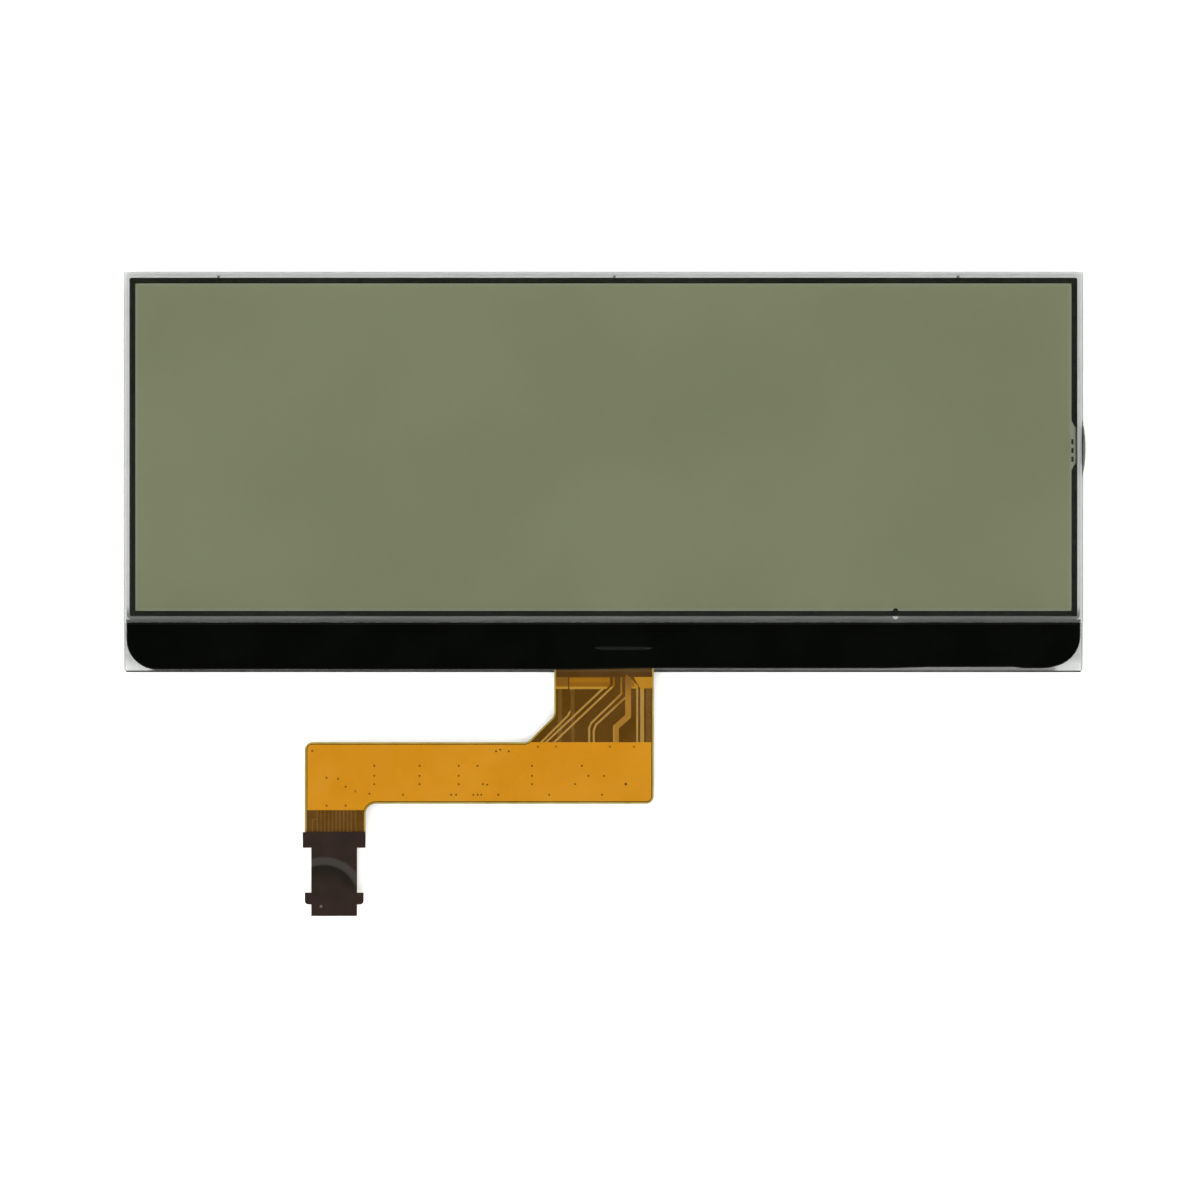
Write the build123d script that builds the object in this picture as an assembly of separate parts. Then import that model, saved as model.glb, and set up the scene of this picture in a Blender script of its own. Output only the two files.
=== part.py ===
from build123d import *

import os

# A reflective liquid crystal display panel. Two glasses hold the liquid crystal, the rear
# glass stands out as a ledge that carries the driver chip, and a flexible tail is bonded
# to that ledge. The panel lies on its back with the viewing face up.
# Millimetres. X runs along the panel, Y away from the ledge and Z out of the viewing face.
# The origin is on the underside of the reflector, below the centre of the front glass.

# Glass cell
cell_length = 115.2
front_glass_height = 42.08
ledge_depth = 6.0
glass_thickness = 1.1
ledge_corner_cut = 0.4
cell_gap = 0.01

# Films laminated on the outsides of the glasses
film_setback = 0.72
film_corner_radius = 0.3
reflector_thickness = 0.05
rear_polarizer_thickness = 0.2
front_polarizer_thickness = 0.2
film_tab_width = 0.34
film_tab_length = 0.26
film_tab_places = (-46.2, 1.3, 42.55)

# Seal frame between the glasses, with its filling port in the right side
seal_setback = 0.35
seal_width = 1.03
seal_corner_radius = 0.6
port_width = 4.4
port_middle_y = 0.2
port_lip_width = 0.6
port_slope_length = 0.8
pillar_count = 3
pillar_pitch = 1.05
pillar_length = 0.62
pillar_width = 0.35
pillar_row_middle_y = -0.4
pillar_past_seal_line = 0.0875

# Silver dot that joins the two glasses through the seal
dot_length = 1.34
dot_width = 0.65
dot_from_right_edge = 22.5
dot_inwards = 0.1625

# Resin plug in the port, with a bead on the outer edge of the glasses
bead_length = 6.5
bead_height = 1.7
bead_proud = 0.35

# Driver chip, face down on the ledge
chip_length = 6.2
chip_width = 1.4
chip_thickness = 0.4
chip_middle_x = 2.45
chip_from_ledge_edge = 2.82
chip_film_margin = 0.2
bump_height = 0.015
bump_length = 0.1
bump_width = 0.08
bump_pitch = 0.2
bump_edge_margin = 0.12

# Black resin that covers the ledge
coating_thickness = 0.35
coating_side_setback = 0.26
coating_front_setback = 0.47
coating_left_radius = 3.1
coating_right_radius = 3.6
coating_edge_slope = 40.0
coating_over_chip = 0.11
meniscus_height = 0.72
meniscus_reach = 0.6
meniscus_sag_share = 0.36

# Outline of the flexible tail: a neck at the glass, a wide bar and a plug-in end
flex_right_x = 6.05
neck_width = 11.95
bond_length = 1.9
bar_drop = 8.41
bar_length = 41.93
bar_height = 7.4
bar_corner_radius = 0.9
gusset_leg = 3.2
gusset_radius = 1.2
tail_width = 7.3
tail_fillet_radius = 1.25
tail_drop = 3.4
head_width = 7.55
head_length = 1.88
plug_width = 5.5
plug_length = 8.2
plug_from_tail_middle = -0.12
ear_span = 7.06
ear_length = 1.42
ear_from_end = 1.39
ear_radius = 0.45

# Layers of the flexible tail
bond_film_thickness = 0.02
copper_thickness = 0.018
base_thickness = 0.025
coverlay_thickness = 0.025
stiffener_glue_thickness = 0.025
stiffener_thickness = 0.2

# Bond fingers on the ledge and contact fingers at the plug-in end
bond_finger_pitch = 0.5
bond_finger_width = 0.25
bond_finger_past_ledge = 0.55
bond_edge_margin = 0.4
back_coverlay_from_ledge = 0.15
contact_count = 10
contact_pitch = 0.5
contact_width = 0.35
contact_length = 3.5
contact_end_margin = 0.1

# Copper of the flexible tail
copper_edge_margin = 0.3
plane_past_bar = 0.76
line_width = 0.24
wide_line_width = 0.7
outer_line_width = 0.46
pad_edge_margin = 0.06
back_line_width = 0.16
back_line_jog_margin = 0.47
tail_line_pitch = 0.455
guard_line_offset = 2.6
guard_start_drop = 1.9
via_diameter = 0.24
via_bore = 0.14
large_via_diameter = 0.34

# Heights that follow from the layers
rear_polarizer_z = reflector_thickness
rear_glass_z = rear_polarizer_z + rear_polarizer_thickness
ledge_z = rear_glass_z + glass_thickness
front_glass_z = ledge_z + cell_gap
front_polarizer_z = front_glass_z + glass_thickness
front_face_z = front_polarizer_z + front_polarizer_thickness
back_copper_z = ledge_z + bond_film_thickness
base_z = back_copper_z + copper_thickness
front_copper_z = base_z + base_thickness
front_cover_z = front_copper_z + copper_thickness
flex_top_z = front_cover_z + coverlay_thickness
flex_bottom_z = back_copper_z - coverlay_thickness
stiffener_z = flex_top_z + stiffener_glue_thickness

# Places that follow from the glass
right_edge_x = cell_length / 2
left_edge_x = -cell_length / 2
top_edge_y = front_glass_height / 2
front_edge_y = -front_glass_height / 2
ledge_edge_y = front_edge_y - ledge_depth
seal_inner_setback = seal_setback + seal_width
port_mouth_x = right_edge_x - seal_setback - port_lip_width
port_top_y = port_middle_y + port_width / 2
port_bottom_y = port_middle_y - port_width / 2

# Places that follow from the outline of the flexible tail
neck_left_x = flex_right_x - neck_width
neck_end_y = ledge_edge_y + bond_length
bar_left_x = flex_right_x - bar_length
bar_top_y = ledge_edge_y - bar_drop
bar_bottom_y = bar_top_y - bar_height
tail_right_x = bar_left_x + tail_width
plug_middle_x = bar_left_x + tail_width / 2 + plug_from_tail_middle
head_top_y = bar_bottom_y - tail_drop
head_bottom_y = head_top_y - head_length
plug_end_y = head_bottom_y - plug_length


def box_face(left, right, bottom, top):
    """A rectangle given by its four sides."""
    return Pos((left + right) / 2, (bottom + top) / 2) * Rectangle(right - left, top - bottom)


def slab(face, bottom, top):
    """A flat outline given thickness between two heights."""
    return extrude(Pos(0, 0, bottom) * face, amount=top - bottom, dir=(0, 0, 1))


def outline_face(corners, radii):
    """A closed outline of straight sides with one radius for each corner."""
    return make_face(FilletPolyline(*corners, radius=radii, close=True))


def line_face(points, width):
    """A copper line of one width with mitred corners."""
    return trace(Polyline(*points), line_width=width)


def inset_glass_face(setback, radius):
    """The front glass outline drawn in by one setback, with rounded corners."""
    length = cell_length - 2 * setback
    height = front_glass_height - 2 * setback
    return RectangleRounded(length, height, radius)


# Glasses and the films on them

def rear_glass():
    """The long glass: it lies behind the cell and stands out as the ledge."""
    plate = box_face(left_edge_x, right_edge_x, ledge_edge_y, top_edge_y)
    free_corners = plate.vertices().group_by(Axis.Y)[0]
    return slab(chamfer(free_corners, ledge_corner_cut), rear_glass_z, ledge_z)


def front_glass():
    """The shorter glass in front of the liquid crystal."""
    plate = box_face(left_edge_x, right_edge_x, front_edge_y, top_edge_y)
    return slab(plate, front_glass_z, front_polarizer_z)


def film_face():
    """The outline that all films laminated on the glasses are cut to."""
    return inset_glass_face(film_setback, film_corner_radius)


def reflector():
    """The mirror film on the back."""
    return slab(film_face(), 0, rear_polarizer_z)


def rear_polarizer():
    """The film on the rear glass."""
    return slab(film_face(), rear_polarizer_z, rear_glass_z)


def front_polarizer():
    """The front film, with the small tabs that its cutting die leaves on the upper edge."""
    sheet = film_face()
    edge_y = top_edge_y - film_setback
    half = film_tab_width / 2
    for tab_x in film_tab_places:
        sheet += box_face(tab_x - half, tab_x + half, edge_y - half, edge_y + film_tab_length)
    return slab(sheet, front_polarizer_z, front_face_z)


# Inside the gap between the glasses

def cell_face():
    """The area inside the seal, with the sloping mouth of the filling port."""
    inner_x = right_edge_x - seal_inner_setback
    mouth = Polygon(
        (inner_x - seal_width, port_bottom_y - port_slope_length),
        (inner_x, port_bottom_y - port_slope_length),
        (port_mouth_x, port_bottom_y),
        (port_mouth_x, port_top_y),
        (inner_x, port_top_y + port_slope_length),
        (inner_x - seal_width, port_top_y + port_slope_length),
        align=None,
    )
    return inset_glass_face(seal_inner_setback, seal_corner_radius) + mouth


def dot_face():
    """The silver dot, long way across the lower side of the seal."""
    dot_y = front_edge_y + seal_setback + seal_width / 2 + dot_inwards
    place = Pos(right_edge_x - dot_from_right_edge, dot_y) * Rot(0, 0, 90)
    return place * SlotOverall(dot_length, dot_width)


def pillar_faces():
    """The short walls of seal resin that stand across the filling port."""
    pillar_x = right_edge_x - seal_inner_setback + pillar_past_seal_line
    return [
        Pos(pillar_x, pillar_row_middle_y + (i - (pillar_count - 1) / 2) * pillar_pitch)
        * Rectangle(pillar_width, pillar_length)
        for i in range(pillar_count)
    ]


def plug_face():
    """The resin drawn into the filling port, from its mouth to the edge of the glasses."""
    return box_face(port_mouth_x, right_edge_x, port_bottom_y, port_top_y)


def gap_slab(face):
    """A layer that fills the gap between the glasses."""
    return slab(face, ledge_z, front_glass_z)


def perimeter_seal():
    """The resin frame between the glasses."""
    frame = inset_glass_face(seal_setback, seal_corner_radius) - cell_face() - plug_face() - dot_face()
    return gap_slab(frame)


def port_pillars():
    """The pillars in the filling port."""
    return [gap_slab(face) for face in pillar_faces()]


def liquid_crystal():
    """The liquid crystal layer."""
    layer = cell_face() - dot_face()
    for face in pillar_faces():
        layer -= face
    return gap_slab(layer)


def transfer_dot():
    """The silver dot between the glasses."""
    return gap_slab(dot_face())


def end_seal():
    """The resin plug in the filling port with its rounded bead on the glass edges."""
    gap_middle_z = (ledge_z + front_glass_z) / 2
    bead_arc = ThreePointArc((0, -bead_length / 2), (bead_proud, 0), (0, bead_length / 2))
    bead_plan = make_face([bead_arc, Line(bead_arc @ 1, bead_arc @ 0)])
    side_arc = ThreePointArc((0, -bead_height / 2), (bead_proud, 0), (0, bead_height / 2))
    bead_side = make_face([side_arc, Line(side_arc @ 1, side_arc @ 0)])
    tall = extrude(bead_plan, amount=bead_height / 2, both=True)
    long = Rot(90, 0, 0) * extrude(bead_side, amount=bead_length / 2, both=True)
    bead = Pos(right_edge_x, port_middle_y, gap_middle_z) * (tall & long)
    return gap_slab(plug_face()) + bead


# Driver chip on the ledge

chip_middle_y = ledge_edge_y + chip_from_ledge_edge + chip_width / 2
chip_film_top_z = ledge_z + bump_height


def chip_face(margin):
    """The chip's outline, drawn out by a margin."""
    length = chip_length + 2 * margin
    width = chip_width + 2 * margin
    return Pos(chip_middle_x, chip_middle_y) * Rectangle(length, width)


def driver_chip():
    """The bare silicon chip."""
    return slab(chip_face(0), chip_film_top_z, chip_film_top_z + chip_thickness)


def chip_bumps():
    """Two rows of gold bumps under the long sides of the chip."""
    count = int((chip_length - 2 * bump_edge_margin - bump_width) / bump_pitch) + 1
    row_y = chip_width / 2 - bump_edge_margin - bump_length / 2
    face = Rectangle(bump_width, bump_length)
    return [
        slab(Pos(chip_middle_x + place.position.X, chip_middle_y + place.position.Y) * face,
             ledge_z, chip_film_top_z)
        for place in GridLocations(bump_pitch, 2 * row_y, count, 2)
    ]


def chip_bond_film():
    """The adhesive film under the chip, pressed out a little past its sides."""
    film_solid = slab(chip_face(chip_film_margin), ledge_z, chip_film_top_z)
    return film_solid - chip_bumps()


# Outline of the flexible tail

def drawn_in(corners, margin):
    """The corners and radii of an outline, given anticlockwise, after all sides move inwards."""
    points = [Vector(*corner) for corner in corners]
    radii = list(corners.values())
    moved = {}
    for i, point in enumerate(points):
        arriving = (point - points[i - 1]).normalized()
        leaving = (points[(i + 1) % len(points)] - point).normalized()
        inwards = Vector(-arriving.Y - leaving.Y, arriving.X + leaving.X)
        place = point + inwards * (margin / (1 + arriving.dot(leaving)))
        grows = -margin if arriving.cross(leaving).Z > 0 else margin
        moved[(place.X, place.Y)] = max(radii[i] + grows, 0) if radii[i] else 0
    return moved


def flex_face(margin=0.0):
    """The outline of the film: neck, gusset, bar, tail and plug-in end, drawn in by a margin."""
    half_plug = plug_width / 2
    half_span = ear_span / 2
    ear_bottom_y = plug_end_y + ear_from_end
    ear_top_y = ear_bottom_y + ear_length
    corners = {
        (flex_right_x, neck_end_y): 0,
        (neck_left_x, neck_end_y): 0,
        (neck_left_x, bar_top_y + gusset_leg): gusset_radius,
        (neck_left_x - gusset_leg, bar_top_y): gusset_radius,
        (bar_left_x, bar_top_y): bar_corner_radius,
        (bar_left_x, head_bottom_y): 0,
        (plug_middle_x - half_plug, head_bottom_y): 0,
        (plug_middle_x - half_plug, ear_top_y): 0,
        (plug_middle_x - half_span, ear_top_y): 0,
        (plug_middle_x - half_span, ear_bottom_y): ear_radius,
        (plug_middle_x - half_plug, ear_bottom_y): 0,
        (plug_middle_x - half_plug, plug_end_y): 0,
        (plug_middle_x + half_plug, plug_end_y): 0,
        (plug_middle_x + half_plug, ear_bottom_y): 0,
        (plug_middle_x + half_span, ear_bottom_y): ear_radius,
        (plug_middle_x + half_span, ear_top_y): 0,
        (plug_middle_x + half_plug, ear_top_y): 0,
        (plug_middle_x + half_plug, head_bottom_y): 0,
        (tail_right_x, head_bottom_y): 0,
        (tail_right_x, bar_bottom_y): tail_fillet_radius,
        (flex_right_x, bar_bottom_y): bar_corner_radius,
    }
    corners = drawn_in(corners, margin)
    return outline_face(list(corners), list(corners.values()))


def bar_point(along, drop):
    """A place measured from the bar's left end and down from its upper side."""
    return (bar_left_x + along, bar_top_y - drop)


def bar_end_point(inset, drop):
    """A place measured from the bar's right end and down from its upper side."""
    return (flex_right_x - inset, bar_top_y - drop)


def neck_point(inset, drop):
    """A place measured in from the right side and down from the edge of the ledge."""
    return (flex_right_x - inset, ledge_edge_y - drop)


# Copper of the flexible tail

def tail_line_x(index):
    """Where one of the lines to the contacts runs down the tail."""
    return plug_middle_x + (index - (contact_count - 1) / 2) * tail_line_pitch


def contact_x(index):
    """The middle of one contact finger."""
    return plug_middle_x + (index - (contact_count - 1) / 2) * contact_pitch


# Vias, measured from the bar's left end and down from its upper side
via_columns = (8.34, 13.79, 18.49)
via_column_rows = (2.84, 4.04, 5.04)
lower_vias = (11.8, 17.58, 18.17, 20.27, 20.77, 21.2, 23.26)
lower_via_row = 6.32
loose_vias = (
    (0.88, 1.04), (6.08, 5.89), (7.76, 6.19), (22.97, 1.1), (23.47, 0.9), (24.5, 1.1),
    (20.75, 2.84), (21.4, 5.04), (21.92, 5.1),
)
# Vias below the neck, measured from the bar's right end and down from its upper side
neck_via_column = 14.63
neck_lower_vias = (12.55, 6.22)
neck_upper_vias = (13.93, 11.73, 5.27, 2.39)
neck_upper_via_row = 0.55
neck_loose_vias = ((9.43, 5.04), (8.63, 2.84), (7.85, 4.04), (5.99, 4.04))
# Vias between the lines in the tail: which gap, counted from the middle one, and the drop
tail_vias = ((-2, 4.28), (1, 4.4), (3, 5.34), (-2, 7.63), (3, 7.63))
large_neck_via = (3.36, 5.04)
# The via that the right-hand guard line starts from
guard_via = (6.08, 5.89)

# Lines on the back of the bar, from the one furthest left on the tail: how far below the
# bar's upper side each runs, and how far from the bar's right end it turns up
lane_drops = (1.55, 1.9, 2.25, 2.6, 3.1, 3.45, 3.8, 4.3, 4.74, 5.39)
lane_turns = (13.93, 11.73, 11.28, 9.73, 7.78, 7.23, 5.27, 2.39, 1.63, 0.63)
# The lanes that carry on up the back of the neck, with the width of each there
neck_strips = {2: 0.5, 3: 0.4, 9: 0.62}


def via_places():
    """The middle of each small via."""
    places = [bar_point(along, drop) for along in via_columns for drop in via_column_rows]
    places += [bar_point(along, lower_via_row) for along in lower_vias]
    places += [bar_point(along, drop) for along, drop in loose_vias]
    places += [bar_end_point(neck_via_column, drop) for drop in via_column_rows]
    places += [bar_end_point(inset, lower_via_row) for inset in neck_lower_vias]
    places += [bar_end_point(inset, neck_upper_via_row) for inset in neck_upper_vias]
    places += [bar_end_point(inset, drop) for inset, drop in neck_loose_vias]
    places += [
        (plug_middle_x + gap * tail_line_pitch, bar_top_y - drop)
        for gap, drop in tail_vias
    ]
    return places


def via_faces(shrink=0.0):
    """All vias as round faces, with their diameters reduced by one amount."""
    faces = Sketch()
    for place in via_places():
        faces += Pos(*place) * Circle((via_diameter - shrink) / 2)
    faces += Pos(*bar_end_point(*large_neck_via)) * Circle((large_via_diameter - shrink) / 2)
    return faces


# The lines on the front of the neck, as (inset, drop) from the neck's upper right corner
thin_neck_lines = (
    ((9.88, 1.9), (9.88, 4.3), (10.3, 5.2), (13.75, 8.65)),
    ((5.39, 1.3), (13.2, 8.65)),
    ((4.8, 0.58), (4.8, 1.6), (12.2, 8.62)),
    ((3.9, 0.58), (3.9, 2.6), (7.5, 6.1), (7.76, 6.7), (7.76, 8.6)),
    ((3.1, 2.75), (6.95, 6.31), (7.21, 6.96), (7.21, 8.6)),
    ((3.3, 0.38), (1.99, 1.7), (1.99, 8.6)),
)
wide_neck_line = ((3.08, 0.58), (3.08, 5.3), (4.55, 6.6), (4.55, 8.6))
outer_neck_line = ((1.4, 1.7), (1.4, 8.6))
# The pads, the strip and the web between two lines, in the same way
neck_pads = (
    ((12.0, 0.58), (10.3, 0.58), (10.3, 2.0), (12.0, 2.0)),
    ((10.14, 0.58), (5.27, 0.58), (5.27, 1.56), (5.73, 2.02), (10.14, 2.02)),
    ((2.44, 0.58), (0.0, 0.58), (0.0, 1.93), (1.63, 1.93)),
    ((2.8, 0.95), (2.13, 1.6), (2.13, 1.95), (2.8, 1.95)),
)


def front_copper_face():
    """The plane on the bar and the lines, strip and pads on the neck."""
    plane = box_face(bar_left_x, flex_right_x, bar_bottom_y - plane_past_bar, bar_top_y)
    plane &= flex_face(copper_edge_margin)
    pattern = Sketch()
    for corners in neck_pads:
        pattern += Polygon(*[neck_point(*corner) for corner in corners], align=None)
    for points in thin_neck_lines:
        pattern += line_face([neck_point(*point) for point in points], line_width)
    pattern += line_face([neck_point(*point) for point in wide_neck_line], wide_line_width)
    pattern += line_face([neck_point(*point) for point in outer_neck_line], outer_line_width)
    return plane + (pattern & flex_face(pad_edge_margin))


def contact_faces():
    """The contact fingers at the plug-in end."""
    top = plug_end_y + contact_length
    half = contact_width / 2
    return [
        box_face(contact_x(i) - half, contact_x(i) + half, plug_end_y + contact_end_margin, top)
        for i in range(contact_count)
    ]


def bond_finger_faces():
    """The fingers that are pressed onto the ledge, with their ends just past its edge."""
    count = int((neck_width - 2 * bond_edge_margin - bond_finger_width) / bond_finger_pitch) + 1
    middle_x = flex_right_x - neck_width / 2
    half = bond_finger_width / 2
    faces = []
    for i in range(count):
        finger_x = middle_x + (i - (count - 1) / 2) * bond_finger_pitch
        bottom = ledge_edge_y - bond_finger_past_ledge
        faces.append(box_face(finger_x - half, finger_x + half, bottom, neck_end_y))
    return faces


def lane_face(index):
    """The line from one contact, up the tail and along the bar to where it turns up."""
    contact_top_y = plug_end_y + contact_length
    jog_bottom_y = head_bottom_y + back_line_jog_margin
    jog_top_y = head_top_y - back_line_jog_margin
    turn_x, lane_y = bar_end_point(lane_turns[index], lane_drops[index])
    points = [
        (contact_x(index), contact_top_y),
        (contact_x(index), jog_bottom_y),
        (tail_line_x(index), jog_top_y),
        (tail_line_x(index), lane_y),
        (turn_x, lane_y),
    ]
    face = line_face(points, back_line_width)
    if index in neck_strips:
        half = neck_strips[index] / 2
        top = ledge_edge_y - bond_finger_past_ledge
        return face + box_face(turn_x - half, turn_x + half, lane_y - back_line_width / 2, top)
    rise = [(turn_x, lane_y), (turn_x, bar_top_y - neck_upper_via_row)]
    return face + line_face(rise, back_line_width)


def guard_faces():
    """The two outer lines beside the lines to the contacts."""
    left_x = plug_middle_x - guard_line_offset
    right_x = plug_middle_x + guard_line_offset
    start_y = bar_bottom_y - guard_start_drop
    left = [(tail_line_x(0), start_y), (left_x, start_y), (left_x, head_bottom_y)]
    right = [bar_point(*guard_via), (right_x, head_top_y), (right_x, head_bottom_y)]
    return line_face(left, back_line_width) + line_face(right, back_line_width)


def back_copper_face():
    """The lines on the back, which stop at the contact fingers and the bond fingers."""
    face = guard_faces()
    for i in range(contact_count):
        face += lane_face(i)
    face &= flex_face(pad_edge_margin)
    for finger in contact_faces() + bond_finger_faces():
        face -= finger
    return face


# Layers of the flexible tail

flex_outline = flex_face()
front_copper_outline = front_copper_face()
back_copper_outline = back_copper_face()
via_outline = via_faces()


def stiffener_face():
    """The head and plug-in end that the stiffener covers."""
    half = head_width / 2
    head = box_face(plug_middle_x - half, plug_middle_x + half, head_bottom_y, head_top_y)
    below = box_face(bar_left_x - ear_span, flex_right_x, plug_end_y, head_bottom_y)
    return head + (flex_outline & below)


def tail_stiffener():
    """The stiff sheet that lets the plug-in end be pushed into its connector."""
    return slab(stiffener_face(), stiffener_z, stiffener_z + stiffener_thickness)


def stiffener_glue():
    """The adhesive between the stiffener and the film."""
    return slab(stiffener_face() & flex_outline, flex_top_z, stiffener_z)


def flex_base_film():
    """The polyimide sheet between the two copper layers."""
    return slab(flex_outline - via_outline, base_z, front_copper_z)


def flex_front_copper():
    """The front copper layer."""
    return slab(front_copper_outline - via_outline, front_copper_z, front_cover_z)


def flex_back_copper():
    """The back copper layer."""
    return slab(back_copper_outline, back_copper_z, base_z)


def bond_fingers():
    """The plated fingers on the ledge."""
    return [slab(face, back_copper_z, base_z) for face in bond_finger_faces()]


def contact_fingers():
    """The plated contacts on the back of the plug-in end."""
    return [slab(face, back_copper_z, base_z) for face in contact_faces()]


def flex_vias():
    """The plated barrels through the base film, from the front copper to the back."""
    bores = via_faces(via_diameter - via_bore)
    return slab(via_outline - bores, base_z, front_cover_z)


def flex_front_coverlay():
    """The amber film over the front copper, with its adhesive down between the lines."""
    glue = flex_outline - (front_copper_outline + via_outline)
    return slab(flex_outline, front_cover_z, flex_top_z) + slab(glue, front_copper_z, front_cover_z)


def flex_back_coverlay():
    """The film over the back copper, which leaves both rows of fingers bare."""
    top = ledge_edge_y - back_coverlay_from_ledge
    window = box_face(bar_left_x - ear_span, flex_right_x, plug_end_y + contact_length, top)
    area = flex_outline & window
    glue = area - back_copper_outline
    for finger in bond_finger_faces():
        glue -= finger
    return slab(area, flex_bottom_z, back_copper_z) + slab(glue, back_copper_z, base_z)


def flex_bond_film():
    """The conducting film that bonds the fingers to the ledge and fills between them."""
    area = box_face(neck_left_x, flex_right_x, ledge_edge_y, neck_end_y)
    film_solid = slab(area, ledge_z, base_z)
    for finger in bond_fingers():
        film_solid -= finger
    return film_solid


def ledge_coating():
    """The black resin: a sloped layer, a fillet up the front glass and a mound on the chip."""
    left = left_edge_x + coating_side_setback
    right = right_edge_x - coating_side_setback
    bottom = ledge_edge_y + coating_front_setback
    behind = front_edge_y + 2 * coating_thickness
    corners = [(left, behind), (left, bottom), (right, bottom), (right, behind)]
    plan = outline_face(corners, [0, coating_left_radius, coating_right_radius, 0])
    layer = extrude(Pos(0, 0, ledge_z) * plan, amount=coating_thickness, taper=coating_edge_slope)
    layer -= slab(box_face(left, right, front_edge_y, behind), ledge_z, front_face_z)

    low = (front_edge_y - meniscus_reach, ledge_z + coating_thickness)
    high = (front_edge_y, ledge_z + meniscus_height)
    sag = (front_edge_y - meniscus_sag_share * meniscus_reach,
           low[1] + meniscus_sag_share * (meniscus_height - coating_thickness))
    curve = ThreePointArc(low, sag, high)
    foot = Polyline(high, (front_edge_y, ledge_z), (low[0], ledge_z), low)
    meniscus_length = right - left - 2 * meniscus_reach
    meniscus = extrude(Plane.YZ * make_face([curve, foot]), amount=meniscus_length / 2, both=True)

    mound_height = bump_height + chip_thickness + coating_over_chip
    mound_base = Pos(0, 0, ledge_z) * chip_face(mound_height)
    mound = extrude(mound_base, amount=mound_height, taper=coating_edge_slope)

    wick = box_face(left, right, front_edge_y, front_edge_y + seal_setback) - dot_face()
    coating = layer + meniscus + mound + gap_slab(wick)
    coating -= slab(chip_face(0), ledge_z, chip_film_top_z + chip_thickness)
    coating -= slab(chip_face(chip_film_margin), ledge_z, chip_film_top_z)
    bonded = box_face(neck_left_x, flex_right_x, ledge_edge_y, neck_end_y)
    return coating - slab(bonded, ledge_z, flex_top_z)


def write(name, shape):
    """Writes one sub-part, which may be a group of separate solids, to its own file."""
    solids = shape if isinstance(shape, list) else shape.solids()
    solids = [solid for item in solids for solid in item.solids()]
    export_step(solids[0] if len(solids) == 1 else Compound(children=solids), f"parts/{name}.step")


os.makedirs("parts", exist_ok=True)
for make in (
    reflector, rear_polarizer, rear_glass, front_glass, front_polarizer, perimeter_seal,
    port_pillars, liquid_crystal, transfer_dot, end_seal, driver_chip, chip_bumps,
    chip_bond_film, ledge_coating, flex_bond_film, flex_base_film, flex_front_copper,
    flex_front_coverlay, flex_back_copper, flex_back_coverlay, flex_vias, bond_fingers,
    contact_fingers, stiffener_glue, tail_stiffener,
):
    write(make.__name__, make())
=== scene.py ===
"""Dresses a liquid crystal display with its flexible tail and sets it up for a picture from above."""

import logging
import math
from collections.abc import Callable, Iterable
from dataclasses import dataclass
from enum import Enum

import bpy
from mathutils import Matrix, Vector


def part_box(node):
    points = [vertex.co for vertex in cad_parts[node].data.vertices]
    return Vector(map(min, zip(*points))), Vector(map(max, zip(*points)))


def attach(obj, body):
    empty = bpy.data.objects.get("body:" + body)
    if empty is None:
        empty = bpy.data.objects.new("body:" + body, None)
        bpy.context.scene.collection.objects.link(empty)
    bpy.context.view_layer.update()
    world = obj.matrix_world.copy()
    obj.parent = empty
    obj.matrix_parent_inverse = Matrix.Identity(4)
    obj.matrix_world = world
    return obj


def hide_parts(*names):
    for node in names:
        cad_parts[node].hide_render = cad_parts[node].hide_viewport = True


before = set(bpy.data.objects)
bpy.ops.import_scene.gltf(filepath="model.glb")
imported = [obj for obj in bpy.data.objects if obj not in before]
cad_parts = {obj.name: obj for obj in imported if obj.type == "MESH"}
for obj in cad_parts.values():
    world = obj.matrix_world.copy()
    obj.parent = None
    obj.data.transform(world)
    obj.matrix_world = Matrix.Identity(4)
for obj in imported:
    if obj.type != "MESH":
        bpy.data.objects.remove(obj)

MM = 0.001
MICRON = 0.001 * MM
BODY = "root"
LEAST_ROUGHNESS = 0.02
FACING_UP = 0.9
MERGE_DISTANCE = 0.2 * MICRON

# how a screen's value from 0 to 1 becomes linear: straight up to a knee, then a power curve
KNEE, STRAIGHT, OFFSET, POWER = 0.04045, 12.92, 0.055, 2.4
BRIGHTEST = 255

# a colour as it shows on a screen, two hexadecimal digits each for red, green and blue
Colour = str
WHITE: Colour = "ffffff"
Piece = bpy.types.Object
Socket = bpy.types.NodeSocket
log = logging.getLogger("display_panel")


def paint(colour: Colour) -> tuple[float, ...]:
    """Turns a colour as it shows on a screen into the one that a shader takes.

    Args:
        colour: The colour's code.

    Returns:
        The linear colour, fully opaque.
    """
    shown = [value / BRIGHTEST for value in bytes.fromhex(colour)]
    linear = [c / STRAIGHT if c <= KNEE else ((c + OFFSET) / (1 + OFFSET)) ** POWER for c in shown]
    return (*linear, 1.0)


def step(value: float, low: float, high: float) -> float:
    """How far a value has passed smoothly from one bound to another, from 0 to 1."""
    share = min(max((value - low) / (high - low), 0), 1)
    return share * share * (3 - 2 * share)


class Element(Enum):
    """What is selected in edit mode."""

    EDGE = "EDGE"
    FACE = "FACE"


def pick(piece: Piece) -> None:
    """Leaves edit mode and makes one piece the only selected and active one.

    Args:
        piece: The piece to pick.
    """
    if bpy.context.object and bpy.context.object.mode != "OBJECT":
        bpy.ops.object.mode_set(mode="OBJECT")
    bpy.ops.object.select_all(action="DESELECT")
    piece.select_set(True)
    bpy.context.view_layer.objects.active = piece


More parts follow.
